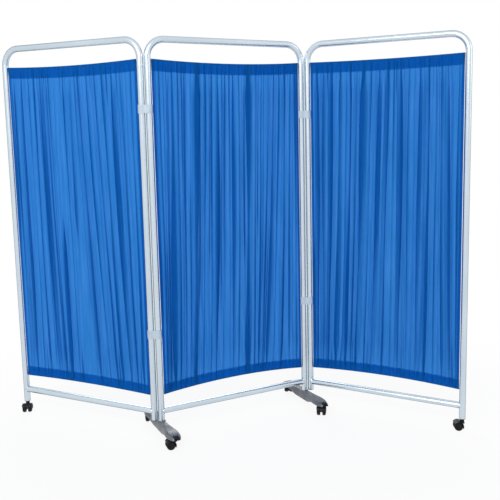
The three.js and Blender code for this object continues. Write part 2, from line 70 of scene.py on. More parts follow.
# Frame
TUBE = 14.0
BORE = 12.5
PITCH = 744.0
HALF = PITCH / 2
HEIGHT = 1748.0
BEND = 76.0
RAIL = 112.0
SPACING = 31.0
OUTER_END = 52.8
MIDDLE_END = 68.3
INNER_END = 72.3

# Curtain
CLOTH_TOP = 1656.0
CLOTH_BOTTOM = 181.0
CLOTH_HALF = 355.5
HEADER = 52.0
HEM = 48.0
WIRE = 2.5
WIRE_SETBACK = 5.4
POCKET = 3.3
WIRE_CALM = 0.06
DROOP = {"left": 10.0, "middle": 14.0, "right": 5.0}
LIFT = {"left": 8.0, "middle": 22.0, "right": 15.0}

# Clip
CLIP_OUTER = 16.2
CLIP_BORE = 14.3
CLIP_HALF_HEIGHT = 18.0
CLIP_DISH_DEGREES = 28.0
CLIP_MOUTH_DEGREES = 44.0
CLIP_HEIGHTS = {"left": (1444.0, 465.0), "right": (1415.0, 522.0)}

# Foot
FOOT_HALF = 190.0
FOOT_WAIST = 21.0
FOOT_WIDE = 31.0
FOOT_TOP = 66.0
FOOT_SKIRT = 27.0
FOOT_END_SKIRT = 44.5
FOOT_WALL = 3.2
COLLAR = 17.0
COLLAR_TOP = 68.0
SPIGOT = 12.2
SPIGOT_TOP = 106.0
SCREW_HEIGHT = 87.9
STEM_BORE = 5.3
STEM_BORE_TOP = 58.8
BOSS = 10.5
FOOT_HOLLOW_HALF = 167.6
RIB_PLACES = (56.0, 84.0, 112.0)
RIB_HALF = 1.1
RIB_LIFT = 9.0
PEDAL_AXIS = (-174.0, 53.0)

# Caster
TRAIL = 18.0
AXLE = 19.616
CASTER_OFFSET = 158.0
CASTER_TOP = 50.5
WHEEL_INSIDE = 5.6
HOOD_INNER = 21.0
HOOD_OUTER = 23.0
HOOD_HALF = 22.6
HOOD_DEGREES = (32, 205)
FIN = 5.0
TRAILS = {
    "left_wing": 250.0,
    "right_wing": 152.0,
    "left_front": 175.0,
    "left_rear": 80.0,
    "right_front": 235.0,
    "right_rear": 60.0,
}


# Places


def middle_of(node):
    low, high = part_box(node)
    return (low + high) / 2


def place_at(origin, x_way):
    """The matrix of a local frame whose X axis points x_way, with its origin on the floor."""
    x = Vector((x_way[0], x_way[1], 0)).normalized()
    y = Vector((-x.y, x.x, 0))
    along = (x.x, y.x, 0, origin[0])
    across = (x.y, y.y, 0, origin[1])
    return Matrix((along, across, (0, 0, 1, 0), (0, 0, 0, 1)))


middle = middle_of("middle_hoop")
half_pitch = Vector((HALF * MM, 0, 0))
left = middle - half_pitch
right = middle + half_pitch
uprights = {
    "left": (middle_of("left_caster_socket"), middle_of("left_end_plug")),
    "middle": (left, right),
    "right": (middle_of("right_end_plug"), middle_of("right_caster_socket")),
}
panel_places = {}
for panel, (start, end) in uprights.items():
    panel_places[panel] = place_at((start + end) / 2, end - start)
PANEL_BODIES = {"left": "left_wing", "middle": "middle_frame", "right": "right_wing"}
clip_places = {
    "left": place_at(left, left - uprights["left"][1]),
    "right": place_at(uprights["right"][0], uprights["right"][0] - right),
}
foot_places = {"left": place_at(left, (1, 0)), "right": place_at(right, (1, 0))}


# Shapes


class Shape:
    """The points and faces of one piece."""

    def __init__(self, points=(), faces=()):
        self.points = [tuple(p) for p in points]
        self.faces = [list(f) for f in faces]

    def add(self, other):
        start = len(self.points)
        self.points.extend(other.points)
        self.faces.extend([start + i for i in face] for face in other.faces)
        return self

    def turned(self, matrix):
        self.points = [tuple(matrix @ Vector(p)) for p in self.points]
        return self

    def moved(self, x=0.0, y=0.0, z=0.0):
        return self.turned(Matrix.Translation((x, y, z)))


def loft(rings, loop=False):
    """A skin over closed rings of equally many points."""
    count = len(rings[0])
    points = [p for ring in rings for p in ring]
    faces = []
    for r in range(len(rings) if loop else len(rings) - 1):
        a = r * count
        b = ((r + 1) % len(rings)) * count
        for i in range(count):
            j = (i + 1) % count
            faces.append([a + i, a + j, b + j, b + i])
    if not loop:
        faces.append(list(range(count))[::-1])
        faces.append([(len(rings) - 1) * count + i for i in range(count)])
    return Shape(points, faces)


def turns(sides):
    """The cosine and the sine at each corner of a circle."""
    angles = [2 * math.pi * i / sides for i in range(sides)]
    return [(math.cos(angle), math.sin(angle)) for angle in angles]


def lathe(profile, sides=40, loop=False):
    """A profile of (radius, height) turned about Z."""
    rings = []
    for radius, height in profile:
        rings.append([(radius * cos, radius * sin, height) for cos, sin in turns(sides)])
    return loft(rings, loop)


def corners_of(outline):
    """Each corner, between the one before it and the one after it."""
    points = [Vector(p) for p in outline]
    return zip(points[-1:] + points[:-1], points, points[1:] + points[:1])


def offset(outline, depth):
    """The outline drawn in by depth. It runs anticlockwise."""
    result = []
    for before, here, after in corners_of(outline):
        one = (here - before).normalized()
        two = (after - here).normalized()
        inward = Vector((-one.y - two.y, one.x + two.x))
        if inward.length < 1e-6:
            inward = Vector((-one.y, one.x))
        inward.normalize()
        reach = min(depth / max(inward.dot(Vector((-one.y, one.x))), 0.5), 2 * depth)
        result.append(tuple(here + inward * reach))
    return result


def extrude(outline, levels):
    """An outline carried up through levels of (height, how far it is drawn in)."""
    rings = []
    for height, depth in levels:
        ring = offset(outline, depth) if depth else outline
        rings.append([(x, y, height) for x, y in ring])
    return loft(rings)


def bevel_levels(edge, radius, steps, way):
    """Levels of a rounded edge, from the end face at edge to the full outline."""
    levels = []
    for t in shares(steps):
        angle = math.pi / 2 * t
        rise = radius * (1 - math.cos(angle))
        levels.append((edge + way * rise, radius * (1 - math.sin(angle))))
    return levels


def rounded(outline, low, high, radius, steps, between=()):
    """An outline carried up from low to high, with both edges rounded."""
    over = bevel_levels(high, radius, steps, -1)
    over.reverse()
    return extrude(outline, [*bevel_levels(low, radius, steps, 1), *between, *over])


def shares(steps):
    """The shares of a way at each of its steps, from 0 to 1."""
    return [i / steps for i in range(steps + 1)]


def round_corners(outline, share=0.4, steps=4):
    """The outline with its corners rounded: a curve starts a share of the way along each side."""
    result = []
    for before, here, after in corners_of(outline):
        start = here.lerp(before, share / 2)
        end = here.lerp(after, share / 2)
        for t in shares(steps):
            result.append(tuple(start.lerp(here, t).lerp(here.lerp(end, t), t)))
    return result


def arc(centre, radius, start, end, steps):
    points = []
    for t in shares(steps):
        angle = math.radians(start + (end - start) * t)
        x = centre[0] + radius * math.cos(angle)
        points.append((x, centre[1] + radius * math.sin(angle)))
    return points


def smooth_step(low, high, value):
    share = np.clip((value - low) / (high - low), 0.0, 1.0)
    return share * share * (3 - 2 * share)


LYING_ALONG_X = Matrix.Rotation(math.pi / 2, 4, "Y")
LYING_ALONG_Y = Matrix.Rotation(-math.pi / 2, 4, "X")


# Materials


class Nodes:
    """A node tree, with short ways to add and join nodes."""

    def __init__(self, owner, output):
        owner.use_nodes = True
        self.owner = owner
        self.tree = owner.node_tree
        self.tree.nodes.clear()
        self.output = self.add(output)

    def add(self, kind, inputs=None, **settings):
        """A node with its settings, and a value or another node's output for each input."""
        node = self.tree.nodes.new(kind)
        for key, value in settings.items():
            setattr(node, key, value)
        for key, value in (inputs or {}).items():
            if isinstance(value, bpy.types.NodeSocket):
                self.tree.links.new(value, node.inputs[key])
            else:
                node.inputs[key].default_value = value
        return node

    def math(self, operation, one, other):
        node = self.add("ShaderNodeMath", {0: one, 1: other}, operation=operation)
        return node.outputs["Value"]

    def seen(self, rays):
        """One where the camera or a reflection looks, and nought for other light."""
        return self.math("MAXIMUM", rays["Is Camera Ray"], rays["Is Glossy Ray"])

    def mix(self, share, one, other):
        shaders = {"Fac": share, 1: one, 2: other}
        return self.add("ShaderNodeMixShader", shaders).outputs["Shader"]

    def finish(self, shader):
        self.tree.links.new(shader, self.output.inputs["Surface"])
        return self.owner


class MaterialNodes(Nodes):
    """A new material's node tree, with textures in the piece's own frame."""

    def __init__(self, name):
        super().__init__(bpy.data.materials.new(name), "ShaderNodeOutputMaterial")
        self.place = self.add("ShaderNodeTexCoord").outputs["Object"]

    def noise(self, scale, detail, stretch=None):
        source = self.place
        if stretch:
            mapping = self.add("ShaderNodeMapping", {"Scale": stretch, "Vector": source})
            source = mapping.outputs["Vector"]
        inputs = {"Scale": scale, "Detail": detail, "Vector": source}
        return self.add("ShaderNodeTexNoise", inputs).outputs["Fac"]

    def between(self, share, low, high, start=0.3, end=0.7):
        """A number that follows share, from low to high."""
        inputs = {"From Min": start, "From Max": end, "To Min": low, "To Max": high}
        return self.add("ShaderNodeMapRange", {**inputs, "Value": share}).outputs["Result"]

    def colours(self, share, dark, light, start=0.3, end=0.7):
        node = self.add("ShaderNodeValToRGB", {"Fac": share})
        for stop, position, colour in zip(node.color_ramp.elements, (start, end), (dark, light)):
            stop.position = position
            stop.color = (*colour, 1)
        return node.outputs["Color"]

    def bump(self, height, strength, distance, before=None):
        inputs = {"Strength": strength, "Distance": distance, "Height": height}
        if before is not None:
            inputs["Normal"] = before
        return self.add("ShaderNodeBump", inputs).outputs["Normal"]


def surface(name, dark, light, rough, drift, grain, grain_depth=0.00003, metallic=0.0,
            stretch=None, specular=0.5, edge=None):
    """A hard finish: its colour drifts, its gloss is uneven, and it has a fine grain.

    The edge colour is a polished metal's own mirror colour at a glancing angle.
    """
    nodes = MaterialNodes(name)
    wide = nodes.noise(drift, 3.0)
    smudges = nodes.noise(drift * 6, 4.0, stretch)
    fine = nodes.noise(grain, 3.0, stretch)
    inputs = {
        "Metallic": metallic,
        "Specular IOR Level": specular,
        "Base Color": nodes.colours(wide, dark, light),
        "Roughness": nodes.between(smudges, *rough),
        "Normal": nodes.bump(fine, 0.35, grain_depth),
    }
    if edge:
        inputs["Specular Tint"] = (*edge, 1)
    return nodes.finish(nodes.add("ShaderNodeBsdfPrincipled", inputs).outputs["BSDF"])


def cloth_surface(name, deep, bright, glow_deep, glow_bright, share):
    """Thin woven cloth: light falls on it and also shines through, so doubled cloth is darker."""
    nodes = MaterialNodes(name)
    slub = nodes.noise(220.0, 3.0, (1.0, 1.0, 0.06))
    creases = nodes.noise(36.0, 5.0, (1.0, 1.0, 0.4))
    normal = nodes.bump(creases, 0.5, 0.004)
    weave = {"Scale": 390.0, "Distortion": 0.6, "Vector": nodes.place}
    for way in ("X", "Z"):
        threads = nodes.add("ShaderNodeTexWave", weave, wave_type="BANDS", bands_direction=way)
        normal = nodes.bump(threads.outputs["Fac"], 0.25, 0.00012, normal)
    inputs = {
        "Base Color": nodes.colours(slub, deep, bright),
        "Roughness": 0.82,
        "Specular IOR Level": 0.05,
        "Sheen Weight": 0.03,
        "Sheen Roughness": 0.5,
        "Sheen Tint": (0.15, 0.45, 1.0, 1),
        "Normal": normal,
    }
    shader = nodes.add("ShaderNodeBsdfPrincipled", inputs)
    # The shine-through colour varies in long upright streaks: painted shade of fine folds, together
    # with uneven dye.
    fold_shade_streaks = nodes.noise(75.0, 4.0, (1.0, 0.4, 0.05))
    inputs = {"Color": nodes.colours(fold_shade_streaks, glow_deep, glow_bright), "Normal": normal}
    glow = nodes.add("ShaderNodeBsdfTranslucent", inputs)
    return nodes.finish(nodes.mix(share, shader.outputs["BSDF"], glow.outputs["BSDF"]))


FINISHES = {
    "frame": surface(
        "bright_tube", (0.57, 0.66, 0.73), (0.64, 0.73, 0.80), (0.22, 0.30), 5.0, 1400.0,
        0.000005, metallic=1.0, stretch=(1.0, 1.0, 0.12), edge=(0.08, 0.10, 0.12),
    ),
    "cloth": cloth_surface(
        "blue_cloth", (0.003, 0.145, 0.410), (0.006, 0.173, 0.470),
        (0.036, 0.220, 0.69), (0.078, 0.300, 0.86), 0.52,
    ),
    "wire": surface(
        "spring_wire", (0.50, 0.51, 0.53), (0.66, 0.67, 0.69), (0.22, 0.36), 60.0, 2000.0,
        metallic=0.9,
    ),
    "clip": surface(
        "clip_plastic", (0.48, 0.58, 0.66), (0.56, 0.65, 0.73), (0.30, 0.42), 30.0, 1600.0,
        0.00004,
    ),
    "foot": surface(
        "cast_foot", (0.125, 0.135, 0.15), (0.18, 0.19, 0.21), (0.30, 0.44), 22.0, 1500.0,
        0.00006, metallic=0.35,
    ),
    "screw": surface(
        "brushed_steel", (0.48, 0.49, 0.50), (0.62, 0.63, 0.64), (0.25, 0.40), 90.0, 2400.0,
        metallic=0.95, stretch=(1.0, 0.15, 1.0),
    ),
    "black_plastic": surface(
        "black_plastic", (0.006, 0.007, 0.009), (0.011, 0.012, 0.015), (0.34, 0.48), 45.0, 1800.0,
        0.00005, specular=0.2,
    ),
    "wheel": surface(
        "wheel_rubber", (0.007, 0.007, 0.008), (0.013, 0.013, 0.015), (0.46, 0.62), 60.0, 1300.0,
        0.00006, specular=0.15,
    ),
}
THREAD = surface(
    "blue_thread", (0.01, 0.07, 0.32), (0.02, 0.11, 0.45), (0.6, 0.8), 200.0, 3000.0, 0.00005,
    stretch=(1.0, 1.0, 0.3),
)


# Making a piece

SMOOTH_DEGREES = 38.0
WHEEL_SMOOTH = 30.0


def linked(name, data):
    """A new object in the scene."""
    thing = bpy.data.objects.new(name, data)
    bpy.context.scene.collection.objects.link(thing)
    return thing


def mesh_of(name, shape, weld=True, smooth=SMOOTH_DEGREES):
    mesh = bpy.data.meshes.new(name)
    mesh.from_pydata([(x * MM, y * MM, z * MM) for x, y, z in shape.points], [], shape.faces)
    body = bmesh.new()
    body.from_mesh(mesh)
    if weld:
        bmesh.ops.remove_doubles(body, verts=body.verts, dist=1e-6)
    bmesh.ops.recalc_face_normals(body, faces=body.faces)
    body.to_mesh(mesh)
    body.free()
    finish_mesh(mesh, smooth)
    return mesh


def finish_mesh(mesh, smooth=SMOOTH_DEGREES):
    mesh.shade_smooth()
    mesh.set_sharp_from_angle(angle=math.radians(smooth))
    mesh.update()


def put(part, name, made, place, body, node, slot, material=None, **how):
    """A part's piece, from a shape or a mesh: in its place, on its body, and for its node."""
    mesh = mesh_of(name, made, **how) if isinstance(made, Shape) else made
    piece = linked(f"{part}_{name}", mesh)
    mesh.materials.clear()
    mesh.materials.append(material or FINISHES[slot])
    piece.matrix_world = place
    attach(piece, body)
    if node:
        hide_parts(f"{part}_{node}")
    return piece


def combined(base, steps):
    """The base shape's mesh after each step of (operation, shape)."""
    piece = linked("base", mesh_of("base", base))
    tools = []
    for operation, shape in steps:
        tool = linked("tool", mesh_of("tool", shape))
        change = piece.modifiers.new("change", "BOOLEAN")
        change.operation = operation
        change.solver = "EXACT"
        change.object = tool
        tools.append(tool)
    bpy.context.view_layer.update()
    graph = bpy.context.evaluated_depsgraph_get()
    mesh = bpy.data.meshes.new_from_object(piece.evaluated_get(graph))
    for used in [piece, *tools]:
        bpy.data.objects.remove(used)
    finish_mesh(mesh)
    return mesh


# Tubes


def hoop_shape(left_end, right_end, sides=48, bend_steps=24, chamfer=0.4):
    """A tube that runs up, over two bends and down, with its wall's edges broken at both ends."""
    stations = [(-HALF, left_end, 0.0)]
    for side in (-1, 1):
        centre_x = side * (HALF - BEND)
        centre_z = HEIGHT - TUBE - BEND
        for t in shares(bend_steps):
            heading = (side + 1) * math.pi / 4 + t * math.pi / 2
            x = centre_x - BEND * math.cos(heading)
            z = centre_z + BEND * math.sin(heading)
            stations.append((x, z, heading))
    stations.append((HALF, right_end, math.pi))

    def ring(station, radius, along=0.0):
        x, z, heading = station
        points = []
        for cos, sin in turns(sides):
            out = radius * cos
            px = x + out * math.cos(heading) + along * math.sin(heading)
            pz = z - out * math.sin(heading) + along * math.cos(heading)
            points.append((px, radius * sin, pz))
        return points

    first = stations[0]
    last = stations[-1]
    rings = [ring(first, TUBE - chamfer), ring(first, TUBE, chamfer)]
    rings += [ring(s, TUBE) for s in stations[1:-1]]
    rings += [ring(last, TUBE, -chamfer), ring(last, TUBE - chamfer)]
    rings += [ring(s, BORE) for s in reversed(stations)]
    return loft(rings, loop=True)


def rail_shape(sides=44):
    """A tube whose ends are cut to fit round the uprights."""
    seat = TUBE + 0.2
    plain = 3 * TUBE

    def ring(side, radius, inset=None):
        points = []
        for cos, sin in turns(sides):
            y = radius * cos
            cut = math.sqrt(seat * seat - y * y) if inset is None else inset
            points.append((side * (HALF - cut), y, RAIL + radius * sin))
        return points

    rings = [ring(-1, TUBE), ring(-1, TUBE, plain), ring(0, TUBE)]
    rings += [ring(1, TUBE, plain), ring(1, TUBE), ring(1, BORE), ring(-1, BORE)]
    return loft(rings, loop=True)


def weld_shape(side, sides=64, around=8, bead=1.5):
    """The bead where the rail meets an upright."""
    path = []
    for cos, sin in turns(sides):
        y = TUBE * cos
        x = HALF - math.sqrt((TUBE + 0.4) ** 2 - y * y)
        path.append(Vector((side * x, y, RAIL + TUBE * sin)))
    rings = []
    for i, here in enumerate(path):
        ahead = (path[(i + 1) % sides] - path[i - 1]).normalized()
        out = Vector((0, here.y, here.z - RAIL)).normalized()
        out = (out - ahead * out.dot(ahead)).normalized()
        across = ahead.cross(out)
        radius = bead * (1 + 0.14 * math.sin(2.3 * i))
        ring = []
        for cos, sin in turns(around):
            ring.append(tuple(here + out * (radius * cos) + across * (radius * sin)))
        rings.append(ring)
    return loft(rings, loop=True)


def wire_shape(height, depth, sides=14):
    """A sprung wire. The coils show at its two ends, and a pin hooks into each upright."""
    span = HALF - TUBE - 0.3
    coils = 30.0
    coil_pitch = 1.7
    coil_depth = 0.22
    pin = 1.4
    stations = [(-span - 2.0, pin), (-span + 0.4, pin)]
    x = -span + 0.4
    while x < -span + coils:
        turn = 2 * math.pi * (x + span) / coil_pitch
        stations.append((x, WIRE - coil_depth + coil_depth * math.cos(turn)))
        x += coil_pitch / 5
    steps = 24
    stations += [((span - coils) * (2 * t - 1), WIRE) for t in shares(steps)]
    stations += [(-x, radius) for x, radius in reversed(stations[: -(steps + 1)])]
    rings = []
    for x, radius in stations:
        share = x / HALF
        z = height + depth * (1 - share * share)
        rings.append([(x, radius * cos, z + radius * sin) for cos, sin in turns(sides)])
    return loft(rings)


def insert_shape(end, bore):
    """A plastic insert in a tube end: a flange with a rounded rim, and a plug with raised bands."""
    top = end - 0.3
    base = top - 2.0
    core = SPIGOT - 0.5
    profile = [(bore or 4.0, base), (TUBE - 1.0, base), (TUBE - 0.4, base + 0.2)]
    profile += [(TUBE - 0.05, base + 0.7), (TUBE, top - 0.4), (TUBE - 0.3, top), (core, top)]
    for i in range(3):
        z = end + 4.0 + 8.0 * i
        profile += [(core, z), (SPIGOT, z + 1.0), (SPIGOT, z + 3.0), (core, z + 4.0)]
    profile += [(core, end + 28.0), (SPIGOT - 1.5, end + 30.0)]
    if bore:
        profile.append((bore, end + 30.0))
    return lathe(profile, 48, loop=bool(bore))


# Clips


def clip_outline():
    """The section of a double snap clip, anticlockwise: two jaws, open to the back, on one web."""
    mid = (CLIP_OUTER + CLIP_BORE) / 2
    lip = (CLIP_OUTER - CLIP_BORE) / 2
    mouth = CLIP_MOUTH_DEGREES
    web = math.degrees(math.acos(SPACING / 2 / CLIP_OUTER))
    dish = CLIP_DISH_DEGREES
    right = (0.0, 0.0)
    left = (-SPACING, 0.0)

    def lip_at(centre, degrees, start):
        place = arc(centre, mid, degrees, degrees, 1)[0]
        return arc(place, lip, start, start + 180, 8)[1:-1]

    def jaw(centre):
        inner = arc(centre, CLIP_BORE, mouth, -mouth - 180, 44)
        return lip_at(centre, mouth, mouth) + inner + lip_at(centre, 180 - mouth, 360 - mouth)

    outline = arc(right, CLIP_OUTER, -90 - dish, mouth, 26) + jaw(right)
    outline += arc(right, CLIP_OUTER, 180 - mouth, 180 - web, 4)
    outline += arc(left, CLIP_OUTER, web, mouth, 4) + jaw(left)
    outline += arc(left, CLIP_OUTER, 180 - mouth, 270 + dish, 26)
    return outline


def clip_shape(height, groove=0.45):
    """A clip with rounded edges and a groove near each of them."""
    low = height - CLIP_HALF_HEIGHT
    high = height + CLIP_HALF_HEIGHT
    grooves = []
    for z in (low + 5.0, high - 5.0):
        grooves += [(z - 0.7, 0.0), (z - 0.4, groove), (z + 0.4, groove), (z + 0.7, 0.0)]
    return rounded(clip_outline(), low, high, 0.8, 4, grooves)


# Feet

FOOT_SECTION = [(-1.0, 0.0), (1.0, 0.0), (0.96, 0.45), (0.74, 0.9)]
FOOT_SECTION += [(0.58, 1.0), (-0.58, 1.0), (-0.74, 0.9), (-0.96, 0.45)]
FOOT_SECTION = round_corners(FOOT_SECTION, 0.34, 4)


def foot_width(y):
    reach = abs(y)
    width = FOOT_WAIST + (FOOT_WIDE - FOOT_WAIST) * smooth_step(40, 140, reach)
    beyond = max(reach - 140, 0) / 58
    return width * math.sqrt(1 - beyond * beyond)


def foot_skirt(y):
    return FOOT_SKIRT + (FOOT_END_SKIRT - FOOT_SKIRT) * smooth_step(48, 117, abs(y))


def foot_roof(y):
    beyond = max(abs(y) - 120, 0) / 74
    return FOOT_END_SKIRT + (FOOT_TOP - FOOT_END_SKIRT) * math.sqrt(1 - beyond * beyond)


def foot_ring(y, wall, dip, edge=0.0):
    width = foot_width(y) - wall - edge
    low = foot_skirt(y) - dip + edge / 3
    high = foot_roof(y) - wall - edge
    return [(width * sx, y, low + (high - low) * sz) for sx, sz in FOOT_SECTION]


def foot_loft(wall, half, dip, steps, edge=0.0):
    rings = []
    for t in shares(steps):
        y = half * math.sin(math.pi / 2 * (2 * t - 1))
        from_end = half - abs(y)
        drawn = 0.0
        if edge and from_end < edge:
            drawn = edge - math.sqrt(edge * edge - (edge - from_end) ** 2)
        rings.append(foot_ring(y, wall, dip, drawn))
    return loft(rings)


def foot_mesh():
    """The foot: a shell with ribs, two stem bosses, a collar and spigot, and the pedal's slot."""
    body = foot_loft(0.0, FOOT_HALF, 0.0, 84, 2.2)
    hollow = foot_loft(FOOT_WALL, FOOT_HOLLOW_HALF, 5.0, 48)
    boss_top = foot_roof(CASTER_OFFSET) - FOOT_WALL / 2
    inside = Shape()
    bores = Shape()
    for side in (-1, 1):
        boss = lathe([(BOSS, CASTER_TOP), (BOSS, boss_top)], 32)
        inside.add(boss.moved(y=side * CASTER_OFFSET))
        bore = lathe([(STEM_BORE, FOOT_SKIRT), (STEM_BORE, STEM_BORE_TOP)], 28)
        bores.add(bore.moved(y=side * CASTER_OFFSET))
        for y in RIB_PLACES:
            rings = []
            for place in (side * y - RIB_HALF, side * y + RIB_HALF):
                low = foot_skirt(place) + RIB_LIFT
                ring = foot_ring(place, FOOT_WALL / 2, 0.0)
                rings.append([(px, py, max(pz, low)) for px, py, pz in ring])
            inside.add(loft(rings))
    profile = [(12.0, FOOT_SKIRT + 3.2), (COLLAR + 2.0, FOOT_SKIRT + 3.2)]
    profile += [(COLLAR + 2.0, FOOT_TOP - 4.0), (COLLAR + 1.4, FOOT_TOP - 1.6)]
    profile += [(COLLAR + 0.5, FOOT_TOP - 0.2), (COLLAR, FOOT_TOP + 0.8)]
    profile += [(COLLAR - 0.2, COLLAR_TOP - 0.4), (COLLAR - 0.7, COLLAR_TOP)]
    profile += [(SPIGOT, COLLAR_TOP), (SPIGOT, SPIGOT_TOP - 1.5), (SPIGOT - 1.5, SPIGOT_TOP)]
    slot = [(-11.5, -202.0), (11.5, -202.0), (11.5, -169.4), (-11.5, -169.4)]
    slot = extrude(slot, [(FOOT_SKIRT, 0.0), (72.0, 0.0)])
    steps = [
        ("DIFFERENCE", hollow),
        ("UNION", inside),
        ("UNION", lathe(profile, 48)),
        ("DIFFERENCE", bores),
        ("DIFFERENCE", slot),
        ("DIFFERENCE", lying_stud([(1.9, -15.2), (1.9, 15.2)])),
    ]
    return combined(body, steps)


def lying_stud(profile):
    """A round stud along X, on the pedal's axis."""
    y, z = PEDAL_AXIS
    return lathe(profile, 20).turned(LYING_ALONG_X).moved(y=y, z=z)


def pedal_shape():
    """A moulded block with a rounded nose, ridges across its top and a stud at each side."""
    outline = [(-170.0, 48.0), (-170.0, 58.5), (-179.9, 57.3)]
    outline += [(-193.2, 55.0), (-199.0, 51.5), (-199.0, 48.0)]
    outline = round_corners(outline, 0.3, 4)
    # The outline's Y and Z become the shape's Y and Z, and the extrusion runs along X.
    swap = Matrix(((0, 0, 1, 0), (1, 0, 0, 0), (0, 1, 0, 0), (0, 0, 0, 1)))
    outline.reverse()
    shape = rounded(outline, -11.2, 11.2, 1.0, 4).turned(swap)
    bar = [(0.2, -9.0), (0.6, -8.7), (0.75, -8.2), (0.75, 8.2), (0.6, 8.7), (0.2, 9.0)]
    for i in range(5):
        y = -176.0 - 4.0 * i
        z = 58.5 - (-170.0 - y) * 0.121 if y > -180 else 57.3 - (-179.9 - y) * 0.173
        shape.add(lathe(bar, 12).turned(LYING_ALONG_X).moved(y=y, z=z))
    shape.add(lying_stud([(1.2, -14.7), (1.6, -14.3), (1.6, 14.3), (1.2, 14.7)]))
    return shape


def screw_shape(sides=48):
    """A button-head screw with a six-sided socket, lying along X."""
    start = TUBE + 0.3

    def ring(radius, x, six=False):
        points = []
        for i in range(sides):
            angle = 2 * math.pi * i / sides
            r = radius
            if six:
                turn = (angle % (math.pi / 3)) - math.pi / 6
                r = radius * math.cos(math.pi / 6) / math.cos(turn)
            points.append((x, r * math.cos(angle), SCREW_HEIGHT + r * math.sin(angle)))
        return points

    rings = [ring(2.0, 4.5), ring(2.5, 5.0), ring(2.5, start)]
    for radius, height in ((3.9, 0.0), (4.0, 0.2), (3.9, 0.9), (3.4, 1.6), (2.5, 2.0)):
        rings.append(ring(radius, start + height))
    for radius, height in ((1.75, 2.0), (1.65, 1.9), (1.65, 0.6)):
        rings.append(ring(radius, start + height, True))
    return loft(rings).turned(Matrix.Rotation(math.radians(45), 4, "Z"))


# Casters


def hood_shape():
    """The fender over both wheels, the fin between them, the swivel boss and the axle."""
    shoulder = 1.5
    inner = HOOD_INNER + 0.3
    section = [(HOOD_INNER, -HOOD_HALF + 0.3), (HOOD_INNER, HOOD_HALF - 0.3), (inner, HOOD_HALF)]
    for i in range(1, 16):
        y = HOOD_HALF * math.cos(math.pi * i / 16)
        share = abs(y) / HOOD_HALF
        section.append((HOOD_OUTER + 0.3 - shoulder * share**6, y))
    section.append((inner, -HOOD_HALF))
    middle = (HOOD_INNER + HOOD_OUTER) / 2
    start, end = HOOD_DEGREES
    rings = []
    for t in shares(40):
        angle = math.radians(start + (end - start) * t)
        thin = 0.0 if 0 < t < 1 else 0.55
        ring = []
        for radius, y in section:
            r = radius + (middle - radius) * thin
            ring.append((TRAIL + r * math.cos(angle), y, AXLE + r * math.sin(angle)))
        rings.append(ring)
    shape = loft(rings)
    hub = 4.9
    foot = -hub - 0.8
    outline = arc((0, 0), middle, start, end, 36)
    outline += [(-hub, -hub), (-hub * 0.4, foot), (hub * 0.4, foot), (hub, -hub)]
    outline = [(TRAIL + x, AXLE + z) for x, z in outline]
    stand = Matrix(((1, 0, 0, 0), (0, 0, -1, 0), (0, 1, 0, 0), (0, 0, 0, 1)))
    shape.add(rounded(outline, -FIN, FIN, 0.9, 3).turned(stand))
    boss = [(3.15, 29.8), (9.0, 29.8), (11.5, 31.0), (10.6, 34.0), (9.6, 37.0)]
    boss += [(9.0, 40.5), (9.0, 47.3), (8.8, 47.8), (8.4, 48.0), (3.15, 48.0)]
    shape.add(lathe(boss, 40, loop=True))
    axle = lathe([(2.9, -17.5), (2.9, 17.5)], 24)
    return shape.add(axle.turned(LYING_ALONG_Y).moved(x=TRAIL, z=AXLE))


def wheel_shape(side):
    """A wheel with a rounded tread, a groove round its cap and a dished centre."""
    profile = [(0.0, 16.5), (3.6, 16.5), (4.2, 16.1), (4.7, 15.7), (5.3, 15.9), (5.9, 16.5)]
    profile += [(9.0, 16.55), (12.0, 16.1), (13.9, 15.4), (14.3, 14.5), (14.8, 14.4)]
    profile += [(15.2, 15.0), (16.4, 14.6), (17.8, 13.6), (18.9, 12.2), (19.4, 10.6)]
    profile += [(19.6, 9.0), (19.6, 8.1), (19.4, 7.9), (19.4, 7.5), (19.6, 7.3), (19.6, 2.0)]
    profile += [(19.3, 0.9), (18.6, 0.2), (17.8, 0.0), (12.0, 0.0), (11.4, 1.2), (6.0, 1.2)]
    profile += [(5.4, 0.0), (3.2, 0.0), (3.2, 12.9), (0.0, 12.9)]
    turn = Matrix.Rotation(-side * math.pi / 2, 4, "X")
    return lathe(profile, 64).turned(turn).moved(x=TRAIL, y=side * WHEEL_INSIDE, z=AXLE)


def stem_shape(length):
    """A stem with its flange, which stands in a foot or a socket by the length given."""
    top = CASTER_TOP + length
    profile = [(2.4, 30.0), (3.0, 30.6), (3.0, 48.3), (8.6, 48.3), (9.0, 48.6), (9.0, 49.9)]
    profile += [(8.7, 50.2), (5.0, 50.2), (5.0, top - 1.2), (4.0, top)]
    return lathe(profile, 40)


# Curtains

# Runs of a fold, as shares of the height from 0 at the bottom to 1 at the top: only under the
# header, only over the hem, and all the way.
HIGH = (0.8, 2.0)
LOW = (-1.0, 0.2)
WHOLE = (-1.0, 2.0)

